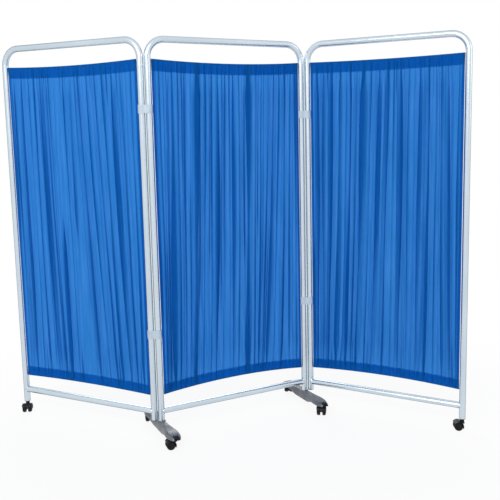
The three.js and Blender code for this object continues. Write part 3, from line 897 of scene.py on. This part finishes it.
# Each fold's place at the top and at the bottom, in thousandths of the panel's width, its overlap
# in millimetres, the way that it laps, and its run if that isn't all the way.
FOLDS = {
    "left": [
        (45, 40, 5, 1), (105, 95, 11, -1), (130, 122, 5, 1, HIGH), (160, 155, 5, 1),
        (182, 184, 6, -1, LOW), (205, 215, 6, -1), (228, 250, 5, -1, HIGH), (256, 287, 17, 1),
        (286, 315, 5, 1, HIGH), (305, 335, 4, -1), (345, 364, 6, 1, LOW),
        (380, 390, 13, -1, (-1.0, 0.62)), (412, 425, 7, 1, HIGH), (440, 455, 4, 1),
        (467, 480, 6, -1, LOW), (494, 505, 12, 1, (0.35, 2.0)), (553, 628, 11, -1),
        (588, 666, 6, 1, LOW), (620, 700, 7, 1), (652, 732, 6, -1, HIGH), (680, 760, 5, -1),
        (709, 782, 7, 1, LOW), (738, 805, 10, 1), (772, 835, 7, -1, HIGH), (810, 868, 15, 1),
        (845, 893, 6, 1, HIGH), (875, 915, 5, -1), (915, 938, 6, 1, LOW), (955, 960, 7, 1),
    ],
    "middle": [
        (45, 30, 5, -1), (88, 52, 4, 1), (125, 78, 17, 1), (165, 115, 4, -1), (205, 152, 5, 1),
        (288, 210, 17, -1), (345, 270, 5, 1), (385, 318, 6, 1), (425, 357, 14, -1),
        (475, 402, 5, 1), (530, 482, 11, 1), (568, 518, 4, -1), (637, 585, 19, 1),
        (690, 635, 5, -1), (735, 665, 5, 1), (780, 692, 5, -1), (825, 725, 10, 1), (862, 780, 5, 1),
        (900, 835, 13, -1), (942, 900, 6, 1), (975, 960, 8, 1),
    ],
    "right": [
        (45, 32, 12, -1), (70, 54, 6, 1, HIGH), (95, 75, 8, 1), (122, 91, 6, -1, HIGH),
        (150, 108, 13, -1), (182, 136, 6, 1, LOW), (215, 165, 12, 1), (247, 198, 6, 1, LOW),
        (280, 232, 13, -1), (325, 272, 4, 1), (339, 281, 4, -1, LOW), (372, 305, 19, 1),
        (425, 365, 4, -1), (452, 389, 6, 1, LOW), (478, 412, 11, 1), (505, 451, 5, -1, LOW),
        (530, 488, 11, -1), (570, 540, 4, 1), (586, 563, 5, 1, HIGH), (612, 597, 14, -1),
        (640, 625, 6, 1, LOW), (665, 650, 4, 1), (700, 682, 6, -1, LOW), (735, 715, 9, 1),
        (760, 742, 5, 1, LOW), (787, 770, 14, -1), (813, 806, 4, 1, HIGH), (832, 834, 4, 1),
        (847, 858, 4, -1, LOW), (865, 890, 9, 1), (902, 940, 12, -1), (936, 958, 6, 1, LOW),
        (970, 975, 6, 1),
    ],
}
SIDE_HEM = 12.0
HALF_GAP = 0.55
FOLD_COLUMNS = 18
FINE_FOLD_COLUMNS = 10
PLAIN_COLUMNS = 7
FOLD_DEPTH = 6.0
FOLD_FADE = 0.22

# A fold's half width and how far it is pushed over itself, in overlaps.
FOLD_HALF = 0.82
FOLD_PUSH = 0.91

# How far flat folds and crimps reach from the seams, and the cycles from which waves are sharp.
SEAM_REACH = 110.0
HEADER_CRIMPS = 170.0
HEM_CRIMPS = 140.0
SHARP_FROM = 12

# The turned edge's columns: how far inward each lies, and how far behind the cloth.
TURNED_EDGE = ((SIDE_HEM, 0.75), (SIDE_HEM * 0.6, 0.75), (1.2, 0.7), (0.25, 0.5))
SIDE_COLUMNS = len(TURNED_EDGE)

STITCH = 3.0
STITCH_PITCH = 4.2
STITCH_PROUD = 0.12

# Waves of the cloth: cycles across it, depth in millimetres, and how far each keeps to the seams.
WAVES = ((4, 2.2, 0.0), (9, 2.2, 0.0), (17, 1.9, 0.1), (29, 1.7, 0.35), (51, 1.6, 0.75))

# The spread of each wave's cycles and depth, and its phase, its slip and how fast it roams.
WAVE_SPREAD = ((0.82, 1.2), (0.6, 1.0), (0, 2 * math.pi), (-1.1, 1.1), (2.0, 5.0))


def with_ends(low, values, high):
    return np.concatenate([[low], values, [high]])


class Curtain:
    """One gathered curtain, as a grid of points: columns across it and rows along its length.

    Each fold laps over itself like a Z. It has a place at the top and at the bottom, a lap, a way
    that it laps, and the part of the height that it runs over.
    """

    def __init__(self, panel, seed):
        self.panel = panel
        self.seed = random.Random(seed)
        self.height = CLOTH_TOP - CLOTH_BOTTOM
        folds = np.array(self.all_folds(FOLDS[panel]), float)
        self.tops, self.lows, self.laps, self.ways, self.starts, self.ends = folds.T
        self.halves = FOLD_HALF * self.laps / (2 * CLOTH_HALF)
        self.stations = with_ends(0.0, self.tops, 1.0)
        self.phases = np.array([self.seed.uniform(0, 2 * math.pi) for _ in folds])
        self.waves = []
        for cycles, depth, near_only in WAVES:
            for _ in range(2):
                more, deep, *drift = [self.seed.uniform(*span) for span in WAVE_SPREAD]
                self.waves.append((cycles * more, depth * deep, *drift, near_only))
        self.columns()

    def all_folds(self, main):
        """The folds of the table, with a fine one in each wide space between two of them."""
        draw = self.seed.uniform
        folds = []
        before = (0.0, 0.0, 0.0)
        for top, low, lap, way, *run in main:
            top, low = top / 1000, low / 1000
            span = run[0] if run else WHOLE
            gap = top - before[0] - (lap + before[2]) / (2 * CLOTH_HALF)
            if gap > 0.022:
                share = draw(0.38, 0.62)
                fine_top = before[0] + (top - before[0]) * share
                low_share = share + draw(-0.08, 0.08)
                fine_low = before[1] + (low - before[1]) * low_share
                fine_lap = draw(2.4, 4.6)
                hangs = self.seed.random()
                start = draw(0.1, 0.6) if hangs < 0.55 else -1.0
                end = draw(0.45, 0.9) if hangs > 0.75 else 2.0
                fine_way = self.seed.choice((-1, 1))
                folds.append((fine_top, fine_low, fine_lap, fine_way, start, end))
            folds.append((top, low, lap, way, *span))
            before = (top, low, lap)
        return folds

    def columns(self):
        """Where the columns lie: their material share, their fold or -1, and their place in it."""
        columns = []

        def plain(start, end, count):
            for i in range(count):
                columns.append((start + (end - start) * i / PLAIN_COLUMNS, -1, 0.0))

        before = 0.0
        for number, top in enumerate(self.tops):
            half = self.halves[number]
            steps = FOLD_COLUMNS if self.laps[number] > 5 else FINE_FOLD_COLUMNS
            plain(before, top - half, PLAIN_COLUMNS)
            columns.extend((top, number, 2 * i / steps - 1) for i in range(steps))
            before = top + half
        plain(before, 1, PLAIN_COLUMNS + 1)
        self.shares, numbers, self.places = np.array(columns).T
        self.numbers = numbers.astype(int)
        self.after = np.searchsorted(self.tops, self.shares)

    def from_seams(self, z):
        """How far a height lies below the header's seam and above the hem's."""
        return self.height - HEADER - z, z - HEM

    def main_row(self, rise):
        """The X and Y of every column at a share of the height, from 0 at the bottom."""
        seam = min(self.from_seams(rise * self.height))
        # The folds are tighter and flatter at the two seams, and tightest in the pockets.
        loose = 0.80 + 0.20 * smooth_step(0, 120, seam)
        depth_share = 0.35 + 0.65 * smooth_step(0, SEAM_REACH, seam)
        if seam < 0:
            loose = 0.80 - 0.25 * smooth_step(0, 40, -seam)
        bend = rise + 0.08 * math.sin(math.pi * rise)
        free = math.sin(math.pi * min(max(rise, 0), 1))
        wander = 0.0035 * np.sin(4.2 * rise + self.phases) * free
        centres = self.lows + (self.tops - self.lows) * bend + wander
        swing = 1 + 0.30 * np.sin(self.phases * 3 + 6.0 * rise)
        span = smooth_step(self.starts, self.starts + FOLD_FADE, rise)
        span = span * (1 - smooth_step(self.ends - FOLD_FADE, self.ends, rise))
        laps = self.laps * loose * swing * span
        depths = FOLD_DEPTH * depth_share * np.minimum(self.laps / 11.0, 1.2) * span
        folded = self.numbers >= 0
        number = np.where(folded, self.numbers, 0)
        half = self.halves[number]
        t = self.places
        target = with_ends(0.0, centres, 1.0)
        x = np.interp(self.shares + np.where(folded, half * t, 0.0), self.stations, target)
        push = FOLD_PUSH * laps[number] / (2 * CLOTH_HALF)
        x = x - np.where(folded, push * np.sin(math.pi * t), 0.0)
        steps = smooth_step(-0.72, -0.28, t) + smooth_step(0.28, 0.72, t)
        inside = self.ways[number] * depths[number] * (1 - steps)
        y = np.where(folded, inside, self.between_folds(depths))
        x = CLOTH_HALF * (2 * x - 1)
        return x, y + self.ripple(x, rise, centres)

    def between_folds(self, depths):
        """The cloth runs from the back of one fold to the front of the next."""
        halves = with_ends(0.0, self.halves, 0.0)
        sides = with_ends(0.0, self.ways * depths, 0.0)
        low = self.stations[self.after] + halves[self.after]
        high = self.stations[self.after + 1] - halves[self.after + 1]
        left = -sides[self.after]
        right = sides[self.after + 1]
        share = smooth_step(low, np.maximum(high, low + 1e-6), self.shares)
        return left + (right - left) * share

    def ripple(self, x, rise, centres):
        """Soft waves that follow the folds, and crimps that are strongest beside the seams."""
        share = (x / CLOTH_HALF + 1) / 2
        along = np.interp(share, with_ends(0.0, centres, 1.0), self.stations)
        edge = smooth_step(0.0, 0.05, np.minimum(share, 1 - share))
        from_top, from_low = self.from_seams(rise * self.height)
        seam = min(from_top, from_low)
        under_header = math.exp(-abs(from_top) / HEADER_CRIMPS)
        near = max(under_header, math.exp(-abs(from_low) / HEM_CRIMPS))
        free = 0.22 + 0.78 * smooth_step(0, SEAM_REACH, seam)
        if seam < 0:
            near = 1.2
            free = 0.32
        total = np.zeros(len(x))
        for cycles, depth, phase, slip, roam, near_only in self.waves:
            size = depth * (free * (1 - near_only) + near * near_only)
            drift = phase + slip * math.sin(roam * rise + phase)
            wave = np.sin(2 * math.pi * cycles * along + drift)
            total += size * (wave if cycles < SHARP_FROM else wave * np.abs(wave))
        return total * edge

    def rows(self):
        """Each row's height, or its share of the way round a wire, and the side that it is on."""
        inner = WIRE_SETBACK + 4.0
        result = [(z, "back") for z in (HEM, HEM * 0.7, HEM * 0.4, inner)]
        result += [(t, "under") for t in shares(8)]
        result += [(z, "front") for z in (inner, HEM * 0.4, HEM * 0.7, HEM - 2.0)]
        for t in shares(84):
            eased = t - 0.11 * math.sin(2 * math.pi * t)
            result.append((HEM + (self.height - HEADER - HEM) * eased, "front"))
        front = (HEADER - 2.0, HEADER * 0.7, HEADER * 0.4, inner)
        result += [(self.height - z, "front") for z in front]
        result += [(t, "over") for t in shares(8)]
        back = (inner, HEADER * 0.4, HEADER * 0.7, HEADER)
        return result + [(self.height - z, "back") for z in back]

    def spread(self, z):
        """How far the cloth's layer stands off the middle at a height."""
        from_edge = min(z, self.height - z)
        band = HEADER if z > self.height / 2 else HEM
        if from_edge > band:
            return HALF_GAP
        share = smooth_step(WIRE_SETBACK, band, from_edge)
        return POCKET + (HALF_GAP - POCKET) * share**0.5

    def grid(self):
        rows = []
        for z, kind in self.rows():
            if kind in ("front", "back"):
                x, y = self.main_row(z / self.height)
                side = -1 if kind == "front" else 1
                from_edge = min(z, self.height - z)
                loose = smooth_step(WIRE_SETBACK, WIRE_SETBACK + 20.0, from_edge)
                y = y * (WIRE_CALM + (1 - WIRE_CALM) * loose) + side * self.spread(z)
                heights = np.full(len(x), z)
            else:
                way = 1 if kind == "under" else -1
                at = WIRE_SETBACK if kind == "under" else self.height - WIRE_SETBACK
                x, ripple = self.main_row(at / self.height)
                angle = math.pi * z
                y = way * POCKET * math.cos(angle) + ripple * WIRE_CALM
                heights = np.full(len(x), at - way * POCKET * math.sin(angle))
            rise = heights / self.height
            curve = 1 - (x / HALF) ** 2
            lift = LIFT[self.panel] * curve * (1 - rise)
            droop = DROOP[self.panel] * curve * rise
            rows.append(self.with_side_hems(x, y, CLOTH_BOTTOM + heights + lift - droop))
        return np.array(rows)

    def with_side_hems(self, x, y, z):
        """The cloth's two edges are folded over to the back."""
        turned = {-1: [], 1: []}
        for inward, back in TURNED_EDGE:
            for side, points in turned.items():
                x_here = side * (CLOTH_HALF - inward)
                y_here = np.interp(x_here, x, y) + back
                points.append((x_here, y_here, np.interp(x_here, x, z)))
        row = np.stack([x, y, z], axis=1)
        return np.concatenate([turned[-1], row, turned[1][::-1]])


def grid_mesh(name, grid):
    count_rows, count_columns = grid.shape[:2]
    index = np.arange(count_rows * count_columns).reshape(count_rows, count_columns)
    faces = np.stack([index[:-1, :-1], index[:-1, 1:], index[1:, 1:], index[1:, :-1]], axis=-1)
    mesh = bpy.data.meshes.new(name)
    mesh.from_pydata((grid.reshape(-1, 3) * MM).tolist(), [], faces.reshape(-1, 4).tolist())
    mesh.shade_smooth()
    mesh.update()
    return mesh


def stitch(shape, start, end, lift=0.3, width=0.32):
    """One stitch: a slim bar with pointed ends, standing proud of the cloth."""
    along = end - start
    out = Vector((0, -1, 0))
    side = along.normalized().cross(out)
    ring = [side * width, out * lift, side * -width, out * -0.1]
    middle = (start + end) / 2
    faces = []
    for i in range(4):
        j = (i + 1) % 4
        faces += [[0, 1 + i, 1 + j], [5, 1 + j, 1 + i]]
    shape.add(Shape([start, *(middle + r for r in ring), end], faces))


def stitch_line(shape, start, end, point):
    """Stitches from start to end, along a line that has a point at each place."""
    place = start
    while place < end:
        stitch(shape, Vector(point(place)), Vector(point(place + STITCH)))
        place += STITCH_PITCH


def stitches_shape(curtain, grid):
    """The seams under the header, above the hem and along the two side hems."""
    shape = Shape()
    rows = curtain.rows()
    main = [i for i, (z, kind) in enumerate(rows) if kind == "front"]
    flat = grid[:, SIDE_COLUMNS:-SIDE_COLUMNS]
    for band in (HEM - 2.0, curtain.height - HEADER + 2.0):
        row = min(main, key=lambda i: abs(rows[i][0] - band))
        xs, ys, zs = flat[row].T

        def on_band(x):
            return x, np.interp(x, xs, ys) - STITCH_PROUD, np.interp(x, xs, zs)

        stitch_line(shape, 3.0 - CLOTH_HALF, CLOTH_HALF - 6.0, on_band)
    for side in (-1, 1):
        x = side * (CLOTH_HALF - SIDE_HEM + 2.0)
        ys = [np.interp(x, line[:, 0], line[:, 1]) for line in flat[main]]
        zs = [np.interp(x, line[:, 0], line[:, 2]) for line in flat[main]]

        def on_side(z):
            return x, np.interp(z, zs, ys) - STITCH_PROUD, z

        stitch_line(shape, min(zs) + 4.0, max(zs) - 6.0, on_side)
    return shape


# The screen

HOOP_ENDS = {
    "left": (OUTER_END, INNER_END),
    "middle": (MIDDLE_END, MIDDLE_END),
    "right": (INNER_END, OUTER_END),
}
FIRST_SEED = 11
WING_STEM = 34.0
FOOT_STEM = 8.0

for number, panel in enumerate(("left", "middle", "right")):
    held = (panel_places[panel], PANEL_BODIES[panel])
    put(panel, "bent_tube", hoop_shape(*HOOP_ENDS[panel]), *held, "hoop", "frame")
    rail = rail_shape().add(weld_shape(-1)).add(weld_shape(1))
    put(panel, "rail_tube", rail, *held, "bottom_rail", "frame")
    upper = wire_shape(CLOTH_TOP - WIRE_SETBACK, -DROOP[panel])
    lower = wire_shape(CLOTH_BOTTOM + WIRE_SETBACK, LIFT[panel])
    wires = [
        put(panel, "upper_spring", upper, *held, "upper_wire", "wire"),
        put(panel, "lower_spring", lower, *held, "lower_wire", "wire"),
    ]
    curtain = Curtain(panel, FIRST_SEED + number)
    grid = curtain.grid()
    cloth = put(panel, "cloth", grid_mesh("cloth", grid), *held, "curtain", "cloth")
    seams = stitches_shape(curtain, grid)
    thread = put(panel, "stitches", seams, *held, None, "cloth", THREAD, weld=False)

for side in ("left", "right"):
    held = (clip_places[side], f"{side}_hinge")
    for level, height in zip(("upper", "lower"), CLIP_HEIGHTS[side]):
        clip = clip_shape(height)
        put(side, f"{level}_snap_clip", clip, *held, f"{level}_hinge_clip", "clip")
    held = (foot_places[side], "middle_frame")
    put(side, "moulded_foot", foot_mesh(), *held, "foot", "foot")
    put(side, "button_screw", screw_shape(), *held, "socket_screw", "screw")
    held = (foot_places[side], f"{side}_pedal")
    put(side, "ridged_pedal", pedal_shape(), *held, "brake_pedal", "black_plastic")
    outer, inner = uprights[side] if side == "left" else reversed(uprights[side])
    held = (place_at(outer, (1, 0)), f"{side}_wing")
    socket = insert_shape(OUTER_END, STEM_BORE)
    put(side, "tube_socket", socket, *held, "caster_socket", "black_plastic")
    held = (place_at(inner, (1, 0)), f"{side}_wing")
    put(side, "tube_plug", insert_shape(INNER_END, 0.0), *held, "end_plug", "black_plastic")

for name, degrees in TRAILS.items():
    caster = f"{name}_caster"
    angle = math.radians(degrees)
    place = place_at(middle_of(f"{caster}_stem"), (math.cos(angle), math.sin(angle)))
    put(caster, "cover", hood_shape(), place, f"{name}_swivel", "hood", "black_plastic")
    for letter, way in (("a", -1), ("b", 1)):
        wheel = f"wheel_{letter}"
        mesh = mesh_of(wheel, wheel_shape(way), smooth=WHEEL_SMOOTH)
        put(caster, f"roller_{letter}", mesh, place, f"{name}_{wheel}", wheel, "wheel")
    length, body = (WING_STEM, name) if name.endswith("wing") else (FOOT_STEM, "middle_frame")
    put(caster, "pin", stem_shape(length), place, body, "stem", "screw")


# Floor, light and camera

FLOOR_REACH = 14.0
WHITE = (1.0, 1.0, 1.0, 1.0)
SKY = (0.96, 0.98, 1.0, 1.0)
LOOKED_AT = (0, 0, 0.9)
CAMERA_AT = (-1.33782, -2.92219, 1.3509)
CAMERA_TURN = (0.4836, -0.1366, -0.0189)

corners = [(x * FLOOR_REACH, y * FLOOR_REACH, 0) for x, y in ((-1, -1), (1, -1), (1, 1), (-1, 1))]
floor_mesh = bpy.data.meshes.new("floor")
floor_mesh.from_pydata(corners, [], [[0, 1, 2, 3]])
floor = linked("floor", floor_mesh)
nodes = MaterialNodes("pale_floor")
tone = nodes.colours(nodes.noise(1.2, 2.0), (0.90, 0.90, 0.90), (0.93, 0.93, 0.93))
matt = {"Roughness": 0.9, "Specular IOR Level": 0.1, "Base Color": tone}
matt = nodes.add("ShaderNodeBsdfPrincipled", matt).outputs["BSDF"]
glow = nodes.add("ShaderNodeEmission", {"Color": WHITE}).outputs["Emission"]
distance = nodes.add("ShaderNodeVectorMath", {0: nodes.place}, operation="LENGTH")
fade = nodes.between(distance.outputs["Value"], 0.90, 1.0, 0.9, 2.0)
rays = nodes.add("ShaderNodeLightPath").outputs
share = nodes.math("MULTIPLY", nodes.seen(rays), fade)
floor_mesh.materials.append(nodes.finish(nodes.mix(share, matt, glow)))
floor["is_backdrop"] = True

world = bpy.data.worlds.new("studio")
bpy.context.scene.world = world
nodes = Nodes(world, "ShaderNodeOutputWorld")
seen = nodes.add("ShaderNodeBackground", {"Color": WHITE, "Strength": 1.0})
lit = nodes.add("ShaderNodeBackground", {"Color": SKY, "Strength": 0.4})
rays = nodes.add("ShaderNodeLightPath").outputs
share = nodes.math("MAXIMUM", nodes.seen(rays), rays["Is Transmission Ray"])
nodes.finish(nodes.mix(share, lit.outputs["Background"], seen.outputs["Background"]))


def lamp(name, place, size, tall, watts):
    light = bpy.data.lights.new(name, "AREA")
    light.shape = "ELLIPSE"
    light.size = size
    light.size_y = size * tall
    light.energy = watts
    holder = linked(name, light)
    holder.location = place
    way = Vector(LOOKED_AT) - Vector(place)
    holder.rotation_euler = way.to_track_quat("-Z", "Y").to_euler()


lamp("key", (-3.1, -3.3, 3.4), 3.4, 0.5, 150)
lamp("fill", (3.6, -2.6, 2.6), 2.6, 1.0, 16)
lamp("back", (1.2, 4.2, 3.4), 3.2, 1.0, 90)

optics = bpy.data.cameras.new("camera")
optics.sensor_width = 36.0
optics.lens = 51.56
optics.shift_x = -0.034
optics.shift_y = -0.045
optics.clip_end = 60.0
camera = linked("camera", optics)
yaw, pitch, roll = CAMERA_TURN
ahead = Vector((math.sin(yaw) * math.cos(pitch), math.cos(yaw) * math.cos(pitch), math.sin(pitch)))
level = Vector((math.cos(yaw), -math.sin(yaw), 0))
upward = level.cross(ahead)
across = level * math.cos(roll) + upward * math.sin(roll)
top = upward * math.cos(roll) - level * math.sin(roll)
turn = Matrix((across, top, -ahead)).transposed()
camera.matrix_world = Matrix.Translation(CAMERA_AT) @ turn.to_4x4()
bpy.context.scene.camera = camera

bpy.context.scene.view_settings.view_transform = "Standard"


def plain(box):
    return [[float(c) for c in corner] for corner in box]


{"cad": plain(cad_box), "visual": plain(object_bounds())}
